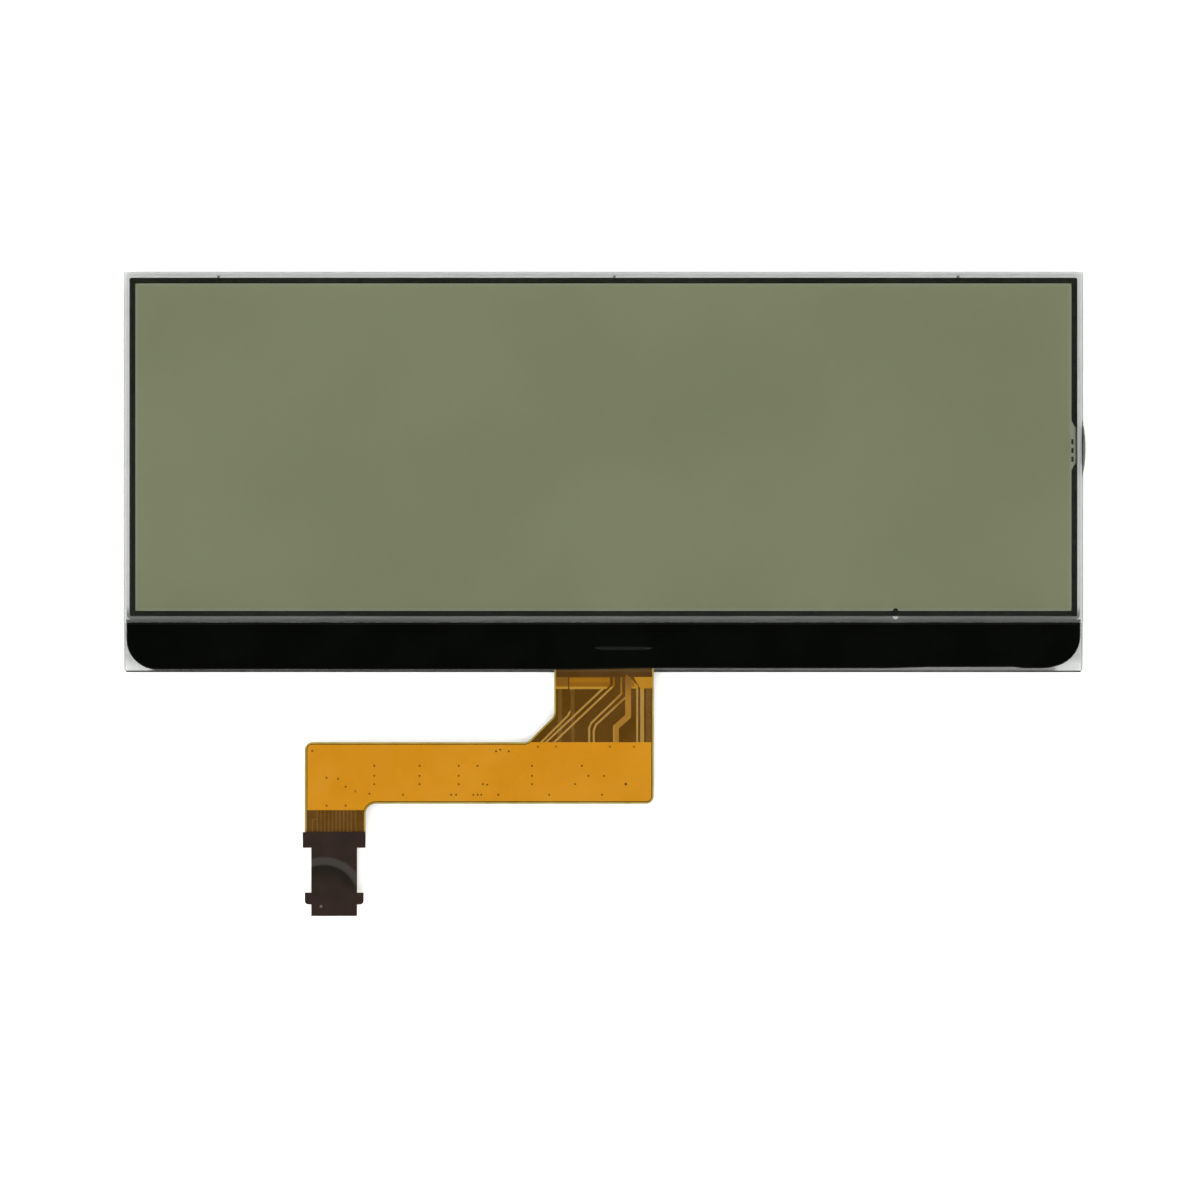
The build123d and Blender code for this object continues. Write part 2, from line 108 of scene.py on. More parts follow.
def edit(piece: Piece, element: Element, wanted: Callable[..., bool]) -> None:
    """Enters edit mode with only the wanted elements selected.

    Args:
        piece: The mesh piece to edit.
        element: Whether faces or edges are selected.
        wanted: A test that takes the element and the mesh.
    """
    pick(piece)
    bpy.ops.object.mode_set(mode="EDIT")
    bpy.ops.mesh.select_mode(type=element.value)
    bpy.ops.mesh.select_all(action="DESELECT")
    bpy.ops.object.mode_set(mode="OBJECT")
    mesh = piece.data
    for item in mesh.edges if element is Element.EDGE else mesh.polygons:
        item.select = wanted(item, mesh)
    bpy.ops.object.mode_set(mode="EDIT")


def finish_mesh(piece: Piece) -> Piece:
    """Turns all faces outwards and sets the object back at the origin, unturned and unscaled.

    Args:
        piece: The piece whose mesh is done.

    Returns:
        The same piece.
    """
    pick(piece)
    bpy.ops.object.transform_apply(location=True, rotation=True, scale=True)
    bpy.ops.object.mode_set(mode="EDIT")
    bpy.ops.mesh.select_all(action="SELECT")
    bpy.ops.mesh.normals_make_consistent(inside=False)
    bpy.ops.object.mode_set(mode="OBJECT")
    return piece


def apply_modifier(piece: Piece, kind: str, **settings: object) -> None:
    """Adds a modifier and applies it.

    Args:
        piece: The piece that it works on.
        kind: The modifier's type.
        settings: Its settings.
    """
    pick(piece)
    modifier = piece.modifiers.new(kind.title(), kind)
    for name, value in settings.items():
        setattr(modifier, name, value)
    bpy.ops.object.modifier_apply(modifier=modifier.name)


def primitive(name: str, add: Callable[..., object], **settings: object) -> Piece:
    """Adds a mesh primitive and names it.

    Args:
        name: The new piece's name.
        add: The operator that adds it.
        settings: The operator's settings.

    Returns:
        The new piece.
    """
    bpy.ops.object.select_all(action="DESELECT")
    add(**settings)
    piece = bpy.context.object
    piece.name = piece.data.name = name
    return piece


def block(name: str, low: Iterable[float], high: Iterable[float]) -> Piece:
    """Adds a cube primitive stretched between two corners.

    Args:
        name: The new piece's name.
        low: Its lowest corner.
        high: Its highest corner.

    Returns:
        The block, settled at the origin.
    """
    low, high = Vector(low), Vector(high)
    return finish_mesh(primitive(
        name, bpy.ops.mesh.primitive_cube_add, size=1, location=(low + high) / 2, scale=high - low
    ))


def join(pieces: list[Piece]) -> Piece:
    """Joins pieces into one.

    Args:
        pieces: The pieces, of which the first takes in the others.

    Returns:
        The first piece.
    """
    pick(pieces[0])
    for piece in pieces:
        piece.select_set(True)
    bpy.ops.object.join()
    return pieces[0]


def cut(piece: Piece, tool: Piece) -> None:
    """Takes one mesh away from another and removes the tool."""
    apply_modifier(piece, "BOOLEAN", operation="DIFFERENCE", solver="EXACT", object=tool)
    bpy.data.objects.remove(tool)


def smooth(piece: Piece, degrees: float) -> None:
    """Shades a piece smooth, apart from edges sharper than an angle."""
    pick(piece)
    bpy.ops.object.shade_smooth_by_angle(angle=math.radians(degrees))


def sheet_of(node: str, name: str, drop: float, thickness: float, edge_width: float = 0.0) -> Piece:
    """Models a thin sheet on the upper outline of a layer of the panel.

    Args:
        node: The layer whose upper faces give the outline.
        name: The new piece's name.
        drop: How far the sheet's top lies below the layer's.
        thickness: The sheet's thickness.
        edge_width: The width of an edge band that gets the piece's second material.

    Returns:
        The sheet as a closed piece.
    """
    piece = bpy.data.objects.new(name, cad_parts[node].data.copy())
    piece.data.name = name
    bpy.context.scene.collection.objects.link(piece)
    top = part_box(node)[1].z
    edit(piece, Element.FACE,
         lambda face, mesh: face.normal.z < FACING_UP or face.center.z < top - MICRON)
    bpy.ops.mesh.delete(type="FACE")
    bpy.ops.mesh.select_all(action="SELECT")
    bpy.ops.mesh.remove_doubles(threshold=MERGE_DISTANCE)
    bpy.ops.transform.translate(value=(0, 0, -drop))
    if edge_width:
        bpy.ops.mesh.inset(thickness=edge_width, use_boundary=True)
    bpy.ops.object.mode_set(mode="OBJECT")
    for face in piece.data.polygons:
        face.material_index = 1 if edge_width and not face.select else 0
    apply_modifier(piece, "SOLIDIFY", thickness=thickness, offset=-1)
    return finish_mesh(piece)


def mount(piece: Piece, material: bpy.types.Material, slot: str, *nodes: str) -> None:
    """Gives a new piece its finish and lets it stand for solids of the panel.

    Args:
        piece: The modelled piece.
        material: Its finish.
        slot: The material slot that the finish belongs to; it is not used.
        nodes: The solids that it stands for.
    """
    indices = [face.material_index for face in piece.data.polygons]
    piece.data.materials.clear()
    piece.data.materials.append(material)
    piece.data.polygons.foreach_set("material_index", indices)
    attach(piece, BODY)
    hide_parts(*nodes)
    log.info("%s: %d faces, in place of %s", piece.name, len(piece.data.polygons), ", ".join(nodes))


class Desk:
    """A desk on which the nodes of one material or node group are laid out."""

    def __init__(self, tree: bpy.types.NodeTree) -> None:
        """Takes the node tree to work on."""
        self.tree = tree

    def add(self, kind: str, inputs: dict | None = None, **settings: object) -> bpy.types.Node:
        """Adds a node.

        Args:
            kind: The node's type, without the ShaderNode that each begins with.
            inputs: Values or sockets for its inputs, by name or number.
            settings: Its other properties.

        Returns:
            The new node.
        """
        node = self.tree.nodes.new("ShaderNode" + kind)
        for name, value in settings.items():
            setattr(node, name, value)
        self.fill(node, inputs or {})
        return node

    def fill(self, node: bpy.types.Node, inputs: dict) -> None:
        """Gives a node's inputs their links, colours or other values.

        Args:
            node: The node.
            inputs: What each input gets, by the input's name or number.
        """
        for key, value in inputs.items():
            if isinstance(value, Socket):
                self.tree.links.new(value, node.inputs[key])
            else:
                node.inputs[key].default_value = paint(value) if isinstance(value, Colour) else value

    def maths(self, operation: str, *values: Socket | float) -> Socket:
        """Works out one number from sockets or constants."""
        return self.add("Math", dict(enumerate(values)), operation=operation).outputs[0]

    def ramp(self, value: Socket, low: float, high: float,
             start: Socket | float = 0.0, end: float = 1.0) -> Socket:
        """Turns a stretch of one value smoothly into a stretch of another."""
        inputs = {"Value": value, "From Min": low, "From Max": high, "To Min": start, "To Max": end}
        return self.add("MapRange", inputs, interpolation_type="SMOOTHSTEP").outputs["Result"]

    def blend(self, share: Socket, first: Socket | Colour, second: Socket | Colour) -> Socket:
        """Mixes two colours by a share of the second."""
        # a Mix node has its colours at 6 and 7, after the numbers and vectors that it could mix
        inputs = {0: share, 6: first, 7: second}
        return self.add("Mix", inputs, data_type="RGBA").outputs[2]

    def group(self, tree: bpy.types.NodeTree, inputs: dict) -> bpy.types.Node:
        """Places a shared node group."""
        return self.add("Group", inputs, node_tree=tree)

    def place(self, axis: str) -> Socket:
        """The place of the shaded point along one axis of the panel."""
        return self.add("SeparateXYZ", {0: self.add("TexCoord").outputs["Object"]}).outputs[axis]

    def past(self, axis: str, edge: float, reach: float) -> Socket:
        """A mask of what lies past a line across one axis, soft for a reach on both sides of it."""
        return self.ramp(self.place(axis), edge - reach, edge + reach)


@dataclass
class Effects:
    """The effects that several finishes share, each a node group that is built once."""

    cloud_detail: float = 3.0
    cloud_band: tuple[float, float] = (0.35, 0.65)
    grain_detail: float = 2.0
    grain_band: tuple[float, float] = (0.3, 0.7)
    grain_share: float = 0.25
    scuff_detail: float = 2.0
    scuff_band: tuple[float, float] = (0.55, 0.75)

    def __post_init__(self) -> None:
        """Builds the groups."""
        self.mottle = self._mottle()
        self.frame_mask = self._frame_mask()
        self.scuffs = self._scuffs()

    @staticmethod
    def _new(name: str, inputs: tuple[str, ...],
             outputs: tuple[str, ...]) -> tuple[Desk, bpy.types.Node, bpy.types.Node]:
        """Starts a group with named sockets: colours where the name says so, numbers elsewhere.

        Args:
            name: The group's name.
            inputs: The names of its inputs.
            outputs: The names of its outputs.

        Returns:
            Its desk, its input node and its output node.
        """
        tree = bpy.data.node_groups.new(name, "ShaderNodeTree")
        for in_out, sockets in (("INPUT", inputs), ("OUTPUT", outputs)):
            for socket in sockets:
                kind = "NodeSocketColor" if "Color" in socket else "NodeSocketFloat"
                tree.interface.new_socket(socket, in_out=in_out, socket_type=kind)
        return Desk(tree), tree.nodes.new("NodeGroupInput"), tree.nodes.new("NodeGroupOutput")

    def _mottle(self) -> bpy.types.NodeTree:
        """Two close tones clouded together, with a fine grain on top.

        Returns:
            The group, which gives the colour, the clouds and the grain.
        """
        desk, given, made = self._new(
            "mottle", ("Light Color", "Dark Color", "Cloud Size", "Grain Size"),
            ("Color", "Cloud", "Grain"),
        )
        place = desk.add("TexCoord").outputs["Object"]
        clouds, grains = (
            desk.add("TexNoise", {
                "Vector": place,
                "Scale": desk.maths("DIVIDE", 1.0, given.outputs[size]),
                "Detail": detail,
            }).outputs["Fac"]
            for size, detail in (("Cloud Size", self.cloud_detail), ("Grain Size", self.grain_detail))
        )
        cloud = desk.ramp(clouds, *self.cloud_band)
        grain = desk.ramp(grains, *self.grain_band)
        fine = desk.maths("MULTIPLY", grain, self.grain_share)
        share = desk.maths("MULTIPLY_ADD", cloud, 1 - self.grain_share, fine)
        colour = desk.blend(share, given.outputs["Dark Color"], given.outputs["Light Color"])
        desk.fill(made, {"Color": colour, "Cloud": cloud, "Grain": grain})
        return desk.tree

    def _frame_mask(self) -> bpy.types.NodeTree:
        """How far a point lies outside a rectangle, and a mask of the inside.

        Returns:
            The group, which gives the mask and the distance.
        """
        desk, given, made = self._new(
            "frame_mask", ("Half X", "Half Y", "Middle X", "Middle Y", "Softness"), ("Inside", "Distance")
        )
        beyond = []
        for axis in "XY":
            offset = desk.maths("SUBTRACT", desk.place(axis), given.outputs["Middle " + axis])
            away = desk.maths("ABSOLUTE", offset)
            beyond.append(desk.maths("SUBTRACT", away, given.outputs["Half " + axis]))
        distance = desk.maths("MAXIMUM", *beyond)
        share = desk.maths("DIVIDE", distance, given.outputs["Softness"])
        desk.fill(made, {"Inside": desk.ramp(share, -0.5, 0.5, 1.0, 0.0), "Distance": distance})
        return desk.tree

    def _scuffs(self) -> bpy.types.NodeTree:
        """Fine rubbed lines that run mostly one way.

        Returns:
            The group, which gives a mask of the lines.
        """
        desk, given, made = self._new("scuffs", ("Width", "Stretch"), ("Lines",))
        across = desk.maths("DIVIDE", desk.place("X"), given.outputs["Width"])
        length = desk.maths("MULTIPLY", given.outputs["Width"], given.outputs["Stretch"])
        along = desk.maths("DIVIDE", desk.place("Y"), length)
        drawn = desk.add("CombineXYZ", {"X": across, "Y": along, "Z": 0.0}).outputs[0]
        lines = desk.add("TexNoise", {"Vector": drawn, "Scale": 1.0, "Detail": self.scuff_detail})
        desk.fill(made, {"Lines": desk.ramp(lines.outputs["Fac"], *self.scuff_band)})
        return desk.tree


EFFECTS = Effects()


@dataclass(frozen=True)
class Finish:
    """A finish of two close tones, clouded together, with a fine grain in its surface."""

    name: str
    light: Colour
    dark: Colour
    roughness: float
    metallic: float = 0.0
    alpha: float = 1.0
    transmission: float = 0.0
    ior: float = 1.5
    specular: float = 0.5
    cloud_size: float = 3.0 * MM
    grain_size: float = 0.15 * MM
    grain_depth: float = 1.0 * MICRON
    roughness_spread: float = 0.08

    def make(self) -> bpy.types.Material:
        """Builds the material.

        Returns:
            The material, with this finish on its shader.
        """
        material = bpy.data.materials.new(self.name)
        material.use_nodes = True
        desk = Desk(material.node_tree)
        clouded = desk.group(EFFECTS.mottle, {
            "Light Color": self.light, "Dark Color": self.dark,
            "Cloud Size": self.cloud_size, "Grain Size": self.grain_size,
        })
        low, high = self.roughness - self.roughness_spread, self.roughness + self.roughness_spread
        roughness = desk.ramp(clouded.outputs["Cloud"], 0.0, 1.0, max(low, LEAST_ROUGHNESS), high)
        bump = desk.add("Bump", {"Height": clouded.outputs["Grain"], "Distance": self.grain_depth})
        desk.fill(material.node_tree.nodes["Principled BSDF"], {
            "Base Color": self.colour(desk, clouded.outputs["Color"]),
            "Roughness": self.rough(desk, roughness),
            "Normal": bump.outputs["Normal"],
            "Alpha": self.opacity(desk),
            "Metallic": self.metallic,
            "Transmission Weight": self.transmission,
            "IOR": self.ior,
            "Specular IOR Level": self.specular,
        })
        return material

    def colour(self, desk: Desk, clouded: Socket) -> Socket:
        """The base colour, which a special finish works further on."""
        return clouded

    def rough(self, desk: Desk, roughness: Socket) -> Socket:
        """The roughness, which a special finish may change."""
        return roughness

    def opacity(self, desk: Desk) -> Socket | float:
        """The opacity, which a special finish may change over the surface."""
        return self.alpha


def dress(finish: Finish, *nodes: str) -> None:
    """Gives solids of the panel their shared finish.

    Args:
        finish: The finish, of which one material is made.
        nodes: The solids that get it.
    """
    material = finish.make()
    for node in nodes:
        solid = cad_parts[node]
        for slot in solid.material_slots:
            slot.material = material
        if not solid.material_slots:
            solid.data.materials.append(material)
        log.info("%s: dressed in %s", node, material.name)


@dataclass(frozen=True)
class Rectangle:
    """A rectangle in plan."""

    low: Vector
    high: Vector

    def _placed(self, desk: Desk, softness: float) -> bpy.types.Node:
        """Places the mask of this rectangle.

        Args:
            desk: The desk of the material.
            softness: How wide the mask's edge is.

        Returns:
            The mask's node, with the outputs Inside and Distance.
        """
        half = (self.high - self.low) / 2
        middle = (self.high + self.low) / 2
        return desk.group(EFFECTS.frame_mask, {
            "Half X": half.x, "Half Y": half.y,
            "Middle X": middle.x, "Middle Y": middle.y, "Softness": softness,
        })

    def inside(self, desk: Desk, softness: float) -> Socket:
        """A mask of what lies in the rectangle, with an edge as wide as the softness."""
        return self._placed(desk, softness).outputs["Inside"]

    def distance(self, desk: Desk) -> Socket:
        """How far a place lies outside the rectangle, negative inside it."""
        return self._placed(desk, MM).outputs["Distance"]


def plan_of(node: str) -> Rectangle:
    """The rectangle that a solid of the panel takes up in plan."""
    return Rectangle(*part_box(node))


def seal_opening() -> Rectangle:
    """The rectangle that the seal leaves open, without the filling port."""
    low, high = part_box("liquid_crystal")
    return Rectangle(low, Vector((-low.x, high.y, 0)))


@dataclass(frozen=True)
class SealFinish(Finish):
    """The seal and what lies in it: dark behind the polarizer and pale at the bare rim."""

    bare: Colour = "e8e8e6"
    bare_lower: Colour = "888a86"
    lower_reach: float = 1.5 * MM
    edge_softness: float = 0.04 * MM
    corner: Colour | None = None

    def colour(self, desk: Desk, clouded: Socket) -> Socket:
        """Dark inside the polarizer's outline, pale outside it, greyer along the ledge.

        Args:
            desk: The desk of the material.
            clouded: The finish's own clouded tone.

        Returns:
            The colour of the seal.
        """
        film = plan_of("rear_polarizer")
        lower = desk.ramp(desk.place("Y"), film.low.y, film.low.y + self.lower_reach, 1.0, 0.0)
        rim = desk.blend(lower, self.bare, self.bare_lower)
        tone = desk.blend(film.inside(desk, self.edge_softness), rim, clouded)
        if self.corner is None:
            return tone
        return desk.blend(seal_opening().inside(desk, self.edge_softness), tone, self.corner)


@dataclass(frozen=True)
class GlassFinish(Finish):
    """Clear glass with painted shade on the ledge, a painted shadow strip and a dark line along its
    ground edge.
    """

    # painted shade on the bare ledge, deepening towards the front glass
    painted_shade: Colour = "e1e2e1"
    painted_shade_reach: tuple[float, float] = (0.5 * MM, 1.9 * MM)
    side: Colour = "b9bab7"
    side_width: float = 0.16 * MM
    # painted shadow: a grey strip along the ledge's front edge, lighter towards the right
    edge_grey: Colour = "70716e"
    painted_shadow_right: Colour = "a8a9a6"
    right_reach: tuple[float, float] = (8 * MM, 44 * MM)
    painted_shadow_depth: float = 0.62 * MM
    line: Colour = "4b4c4a"
    line_depth: float = 0.2 * MM
    softness: float = 0.05 * MM
    corner_length: float = 3.3 * MM
    corner_softness: float = 1.0 * MM

    def colour(self, desk: Desk, clouded: Socket) -> Socket:
        """Paints shade on the ledge and blends in its sides, the painted shadow strip and the line at its
        edge.

        Args:
            desk: The desk of the material.
            clouded: The finish's own clouded tone.

        Returns:
            The colour of the glass.
        """
        low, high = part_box("rear_glass")
        along, inset, soft = desk.place("Y"), self.corner_length, self.softness
        sides = Vector((self.side_width, -inset, 0))
        inner = Rectangle(low + sides, high - sides).inside(desk, self.side_width)
        # paints shade on the ledge
        with_painted_shade = desk.blend(desk.ramp(along, *(low.y + reach for reach in self.painted_shade_reach)),
                            clouded, self.painted_shade)
        bare = desk.blend(inner, self.side, with_painted_shade)
        # the painted shadow strip along the front edge, fading out at the corners
        strip = Rectangle(
            Vector((low.x + inset, low.y - inset, 0)),
            Vector((high.x - inset, low.y + self.painted_shadow_depth, 0)),
        )
        # the painted shadow's tone, lighter towards the right
        grey = desk.blend(desk.ramp(desk.place("X"), *self.right_reach), self.edge_grey, self.painted_shadow_right)
        edge_grey = desk.blend(strip.inside(desk, self.corner_softness), bare, grey)
        edged = desk.blend(desk.past("Y", low.y + self.painted_shadow_depth, soft), edge_grey, bare)
        lined = desk.blend(desk.past("Y", low.y + self.line_depth, soft), self.line, edged)
        glass_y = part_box("front_glass")[0].y
        return desk.blend(desk.ramp(along, glass_y - soft, glass_y), lined, clouded)


@dataclass(frozen=True)
class PlugFinish(SealFinish):
    """The resin of the filling port: clear in the port and dark at the glass edge."""

    bead: Colour = "4b4c49"
    bead_depth: float = 0.1 * MM

    def colour(self, desk: Desk, clouded: Socket) -> Socket:
        """Takes the seal's tones and darkens the bead.

        Args:
            desk: The desk of the material.
            clouded: The finish's own clouded tone.

        Returns:
            The colour of the resin.
        """
        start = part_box("front_glass")[1].x - self.bead_depth
        share = desk.ramp(desk.place("X"), start - self.edge_softness, start)
        return desk.blend(share, super().colour(desk, clouded), self.bead)


@dataclass(frozen=True)
class CrystalFinish(Finish):
    """The viewing area, a little greyer next to the seal."""

    rim: Colour = "b0b49f"
    rim_reach: float = 0.4 * MM

    def colour(self, desk: Desk, clouded: Socket) -> Socket:
        """Blends the rim's tone in along the seal."""
        distance = seal_opening().distance(desk)
        return desk.blend(desk.ramp(distance, -self.rim_reach, 0.0), clouded, self.rim)


@dataclass(frozen=True)
class PolarizerFinish(Finish):
    """A matt film, see-through apart from its dark cut edge."""

    edge: Colour = "1c1e1c"
    edge_band: tuple[float, float] = (-0.15 * MM, -0.05 * MM)
    edge_alpha: float = 0.8
    tab_band: tuple[float, float] = (0.01 * MM, 0.04 * MM)
    tab_alpha: float = 0.45

    def colour(self, desk: Desk, clouded: Socket) -> Socket:
        """Darkens the cut edge."""
        edge = desk.ramp(plan_of("rear_polarizer").distance(desk), *self.edge_band)
        return desk.blend(edge, clouded, self.edge)

    def opacity(self, desk: Desk) -> Socket:
        """Lets the area show through, closes the edge and thins the cutting tabs.

        Args:
            desk: The desk of the material.

        Returns:
            The opacity of the film.
        """
        distance = plan_of("rear_polarizer").distance(desk)
        closed = desk.ramp(distance, *self.edge_band, self.alpha, self.edge_alpha)
        return desk.maths("MULTIPLY", closed, desk.ramp(distance, *self.tab_band, 1.0, self.tab_alpha))


@dataclass(frozen=True)
class Patch:
    """A stretch of the neck's copper with its own tone, measured from the neck's upper left corner."""

    tone: Colour
    left: float
    right: float
    foot: float
    fade: float = 0.0

    def share(self, desk: Desk, softness: float) -> Socket:
        """A mask of the patch, which fades out towards its foot where it has a fade.

        Args:
            desk: The desk of the material.
            softness: How wide the mask's edge is.

        Returns:
            The patch's share, from 0 to 1.
        """
        low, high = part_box("flex_bond_film")
        foot = low.y - self.foot
        area = Rectangle(Vector((low.x + self.left, foot, 0)), Vector((low.x + self.right, high.y, 0)))
        inside = area.inside(desk, softness)
        if not self.fade:
            return inside
        return desk.maths("MULTIPLY", inside, desk.ramp(desk.place("Y"), foot, foot + self.fade))


@dataclass(frozen=True)
class Band:
    """A tone of the neck's copper that starts at a drop below the ledge, with a soft edge."""

    tone: Colour
    drop: float
    reach: float


@dataclass(frozen=True)
class CopperFinish(Finish):
    """Etched copper under the amber film: lines and a banded strip on the neck, a warm plane."""

    lines: Colour = "b48d46"
    faint: Patch = Patch("6a4a1c", left=0.0, right=2.6 * MM, foot=4.7 * MM)
    patches: tuple[Patch, ...] = (
        Patch("a87a2b", left=7.23 * MM, right=9.35 * MM, foot=8.41 * MM),
        Patch("80571c", left=7.05 * MM, right=9.35 * MM, foot=3.4 * MM, fade=2.8 * MM),
        Patch("7c5410", left=0.0, right=1.7 * MM, foot=1.6 * MM),
        Patch("bd8719", left=9.65 * MM, right=11.95 * MM, foot=2.06 * MM),
    )
    patch_softness: float = 0.24 * MM
    strip_bands: tuple[Band, ...] = (
        Band("bc942e", drop=2.06 * MM, reach=0.06 * MM),
        Band("8e5c04", drop=1.74 * MM, reach=0.06 * MM),
        Band("a26d0a", drop=1.2 * MM, reach=0.2 * MM),
        Band("6b460a", drop=0.66 * MM, reach=0.3 * MM),
    )
    bar_reach: float = 0.06 * MM

    def colour(self, desk: Desk, clouded: Socket) -> Socket:
        """Gives the lines and the bands of the strip above the bar their own tones.

        Args:
            desk: The desk of the material.
            clouded: The finish's own clouded tone.

        Returns:
            The colour of the copper.
        """
        ledge_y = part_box("flex_bond_film")[0].y
        above_bar = desk.past("Y", ledge_y - FlexTail.bar_drop, self.bar_reach)
        tone = desk.blend(above_bar, clouded, self.lines)
        tone = desk.blend(self.faint.share(desk, self.patch_softness), tone, self.faint.tone)
        for band in self.strip_bands:
            tone = desk.blend(desk.past("Y", ledge_y - band.drop, band.reach), tone, band.tone)
        for patch in self.patches:
            tone = desk.blend(patch.share(desk, self.patch_softness), tone, patch.tone)
        return tone


@dataclass(frozen=True)
class BaseFinish(Finish):
    """The brown base film, denser and darker where it leaves the ledge."""

    dense: Colour = "3a2505"
    bonded: Colour = "4a3b20"
    dense_alpha: float = 0.95
    dense_reach: float = 0.56 * MM
    dense_softness: float = 0.05 * MM
    bonded_band: tuple[float, float] = (-0.05 * MM, 0.15 * MM)

    def _dense(self, desk: Desk) -> Socket:
        """A mask of the stretch next to the ledge."""
        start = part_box("flex_bond_film")[0].y - self.dense_reach
        return desk.past("Y", start, self.dense_softness)

    def colour(self, desk: Desk, clouded: Socket) -> Socket:
        """Darkens the stretch next to the ledge and greys what is bonded on it.

        Args:
            desk: The desk of the material.
            clouded: The finish's own clouded tone.

        Returns:
            The colour of the film.
        """
        ledge_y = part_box("flex_bond_film")[0].y
        bonded = desk.ramp(desk.place("Y"), *(ledge_y + reach for reach in self.bonded_band))
        return desk.blend(bonded, desk.blend(self._dense(desk), clouded, self.dense), self.bonded)

    def opacity(self, desk: Desk) -> Socket:
        """Closes the film next to the ledge."""
        return desk.ramp(self._dense(desk), 0.0, 1.0, self.alpha, self.dense_alpha)


@dataclass(frozen=True)
class StiffenerFinish(Finish):
    """A glossy dark sheet with a painted curved reflection, painted shade below it, a small painted
    highlight and fine scuffs.
    """

    # painted reflection: a pale curved band on the glossy sheet
    painted_reflection: Colour = "3e3d38"
    # painted shade just inside the curved reflection
    painted_shade: Colour = "171611"
    scuff: Colour = "453832"
    # a small painted highlight spot
    painted_highlight: Colour = "8c837c"
    reflection_middle: tuple[float, float] = (2.54 * MM, 2.1 * MM)
    reflection_radius: float = 4.5 * MM
    reflection_half_width: float = 0.58 * MM
    reflection_band: tuple[float, float] = (0.29 * MM, 0.638 * MM)
    reflection_share: float = 0.5
    reflection_roughness: float = 0.05
    painted_shade_width: float = 2.4 * MM
    painted_shade_share: float = 0.8
    fade: float = 2.4 * MM
    highlight_middle: tuple[float, float] = (2.2 * MM, 1.15 * MM)
    highlight_band: tuple[float, float] = (0.11 * MM, 0.22 * MM)
    highlight_share: float = 0.3
    scuff_width: float = 0.07 * MM
    scuff_stretch: float = 22.0
    scuff_share: float = 0.15

    @staticmethod
    def _away(desk: Desk, middle: tuple[float, float]) -> Socket:
        """How far a place lies in plan from the middle of a mark.

        Args:
            desk: The desk of the material.
            middle: The middle, measured from the sheet's lower left corner.

        Returns:
            The distance.
        """
        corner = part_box("tail_stiffener")[0]
        place = desk.add("TexCoord").outputs["Object"]
        from_middle = {0: place, 1: (corner.x + middle[0], corner.y + middle[1], 0)}
        offset = desk.add("VectorMath", from_middle, operation="SUBTRACT").outputs[0]
        flat = desk.add("VectorMath", {0: offset, 1: (1, 1, 0)}, operation="MULTIPLY").outputs[0]
        return desk.add("VectorMath", {0: flat}, operation="LENGTH").outputs["Value"]

    def _ring(self, desk: Desk) -> Socket:
        """How far a place lies outside the middle line of the painted curved reflection."""
        return desk.maths("SUBTRACT", self._away(desk, self.reflection_middle), self.reflection_radius)

    def _upper(self, desk: Desk) -> Socket:
        """A mask of what lies above the middle of the painted curved reflection."""
        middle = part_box("tail_stiffener")[0].y + self.reflection_middle[1]
        return desk.ramp(desk.place("Y"), middle, middle + self.fade)

    def _reflection_mask(self, desk: Desk) -> Socket:
        """A mask of the painted curved reflection."""
        ring = desk.ramp(desk.maths("ABSOLUTE", self._ring(desk)), *self.reflection_band, 1.0, 0.0)
        return desk.maths("MULTIPLY", ring, self._upper(desk))

    def colour(self, desk: Desk, clouded: Socket) -> Socket:
        """Paints shade below the painted curved reflection and lightens the reflection, the scuffs and a
        small painted highlight.

        Args:
            desk: The desk of the material.
            clouded: The finish's own clouded tone.

        Returns:
            The colour of the sheet.
        """
        lines = desk.group(EFFECTS.scuffs, {"Width": self.scuff_width, "Stretch": self.scuff_stretch})
        scuffs = desk.maths("MULTIPLY", lines.outputs["Lines"], self.scuff_share)
        inner = -self.reflection_half_width
        # painted shade on the sheet just inside the painted curved reflection
        below = desk.ramp(self._ring(desk), inner - self.painted_shade_width, inner, 0.0, self.painted_shade_share)
        inside = desk.ramp(self._ring(desk), inner, 0.0, 1.0, 0.0)
        # the painted shade, only above the reflection's middle
        dark = desk.maths("MULTIPLY", desk.maths("MULTIPLY", below, inside), self._upper(desk))
        with_painted_shade = desk.blend(dark, desk.blend(scuffs, clouded, self.scuff), self.painted_shade)
        # paints in the curved reflection
        with_painted_reflection = desk.blend(desk.maths("MULTIPLY", self._reflection_mask(desk), self.reflection_share), with_painted_shade, self.painted_reflection)
        # paints a small highlight spot
        with_painted_highlight = desk.ramp(self._away(desk, self.highlight_middle), *self.highlight_band, self.highlight_share, 0.0)
        return desk.blend(with_painted_highlight, with_painted_reflection, self.painted_highlight)

    def rough(self, desk: Desk, roughness: Socket) -> Socket:
        """Dulls the painted curved reflection."""
        return desk.maths("MULTIPLY_ADD", self._reflection_mask(desk), self.reflection_roughness, roughness)


